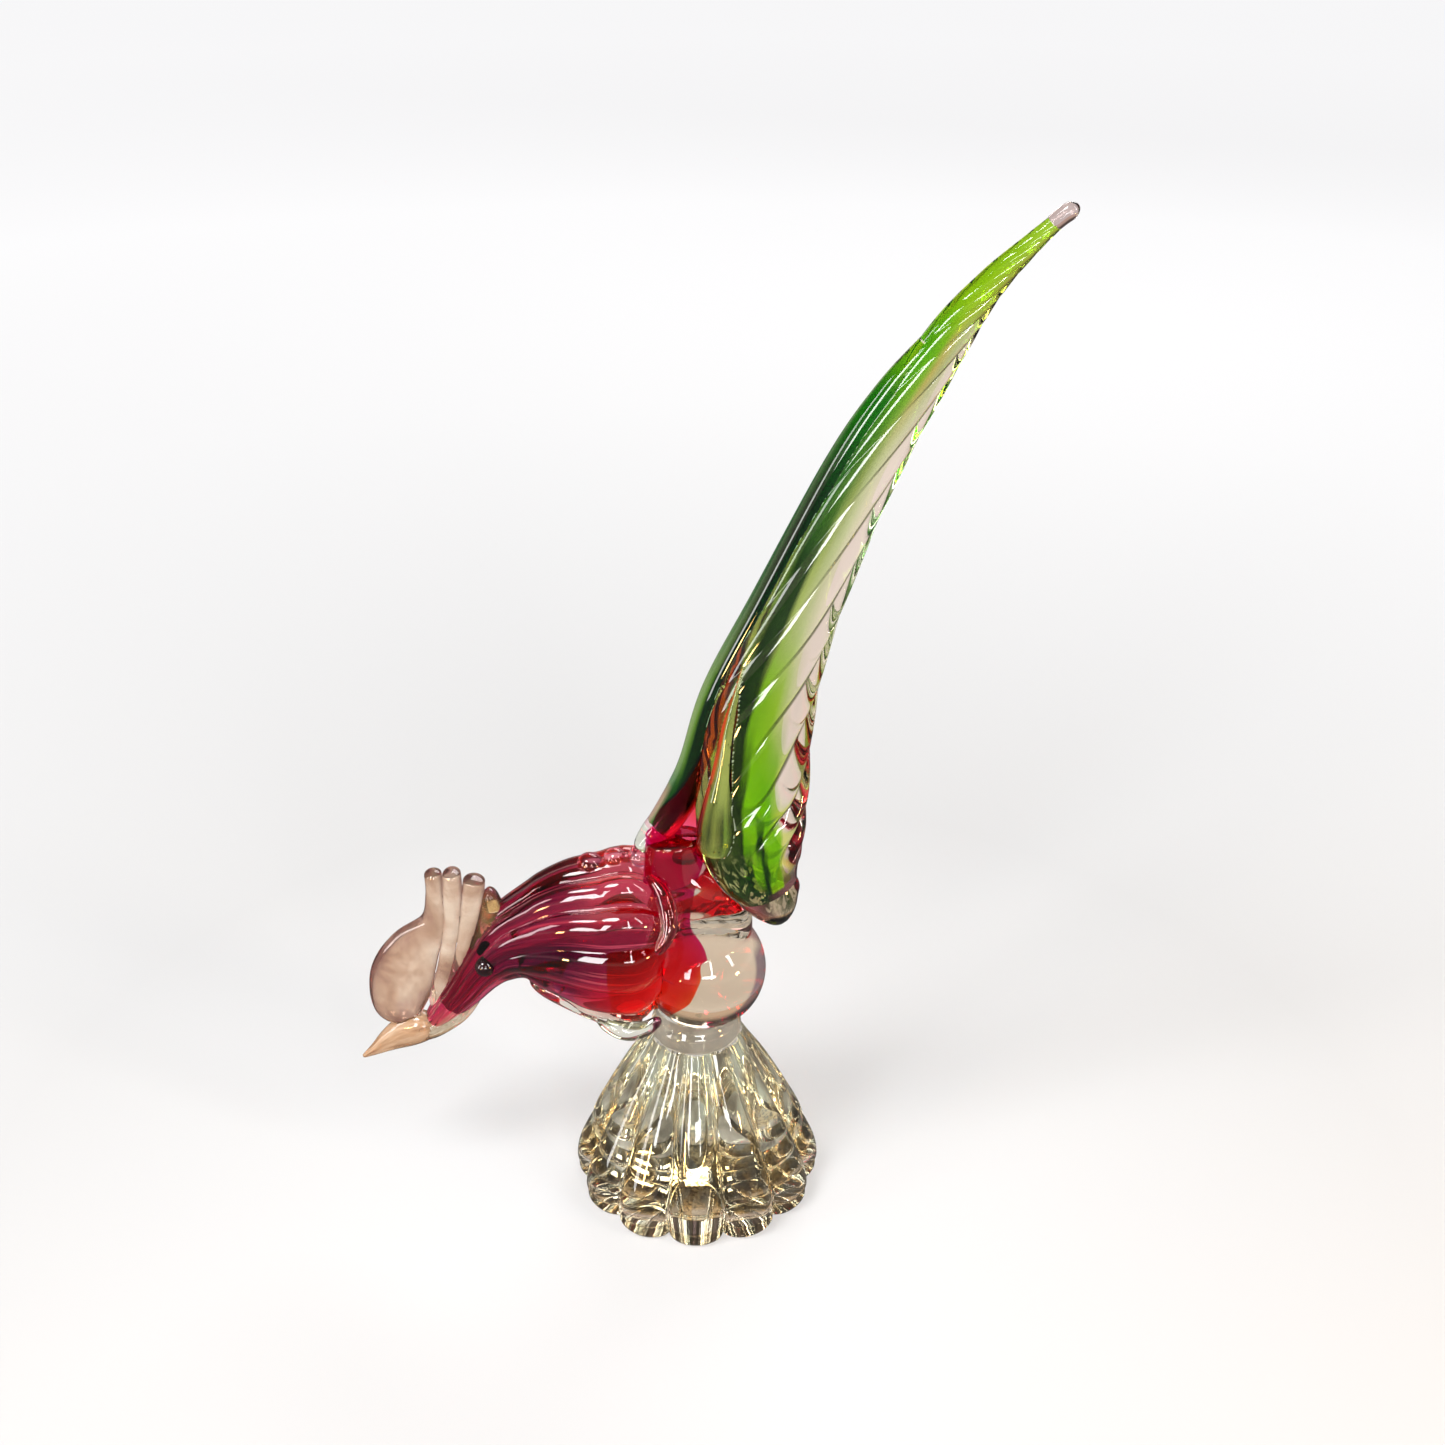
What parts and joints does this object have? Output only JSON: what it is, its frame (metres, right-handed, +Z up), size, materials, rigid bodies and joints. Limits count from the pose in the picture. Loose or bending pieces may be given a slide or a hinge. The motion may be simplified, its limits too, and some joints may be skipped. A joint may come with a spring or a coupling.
{
  "type": "art glass bird figurine",
  "caption": "Hand-worked art glass cockerel with a lowered ruby head, a long upswept green tail, a clear ball body and a ribbed bell foot.",
  "frame": {"origin": "centre of the flat ground face under the foot", "axes": "+Z up from the ground face to the tail's tip, beak towards -X, tail towards +X, +Y across the bird to its far side"},
  "size_m": [0.2472, 0.0938, 0.3826],
  "materials": {
    "clear_glass": "clear soda glass, fire polished, with a faint green cast in the thick parts",
    "champagne_glass": "clear glass with a warm rose-beige tint, fire polished",
    "rose_glass": "clear glass over ruby, fire polished",
    "peach_glass": "translucent peach glass, fire polished",
    "ruby_glass": "deep ruby cased glass",
    "scarlet_glass": "scarlet cased glass",
    "dark_green_glass": "deep green cased glass",
    "bright_green_glass": "lime green cased glass",
    "yellow_green_glass": "pale yellow-green seedy glass with small bubbles",
    "black_glass": "opaque black glass bead, glossy"
  },
  "bodies": {
    "root": {"foot": "clear_glass", "foot_collar": "clear_glass", "body_ball": "champagne_glass", "body_core": "scarlet_glass", "back_spike": "scarlet_glass", "neck_casing": "rose_glass", "neck_core": "ruby_glass", "breast_flute_near": "clear_glass", "breast_flute_mid": "clear_glass", "breast_flute_far": "clear_glass", "breast_lip_near": "clear_glass", "breast_lip_far": "clear_glass", "shoulder_curl_near": "rose_glass", "shoulder_curl_far": "rose_glass", "back_crimp_1": "rose_glass", "back_crimp_2": "rose_glass", "back_crimp_3": "rose_glass", "jaw": "clear_glass", "beak": "peach_glass", "eye_near": "black_glass", "eye_far": "black_glass", "comb_paddle": "champagne_glass", "comb_tab_1": "champagne_glass", "comb_tab_2": "champagne_glass", "comb_curl": "champagne_glass", "tail_casing": "champagne_glass", "tail_core": "bright_green_glass", "tail_strand": "dark_green_glass", "tail_strip": "yellow_green_glass", "tail_root_lobe": "champagne_glass", "tail_swirl": "clear_glass", "tail_tip": "rose_glass"}
  },
  "joints": []
}
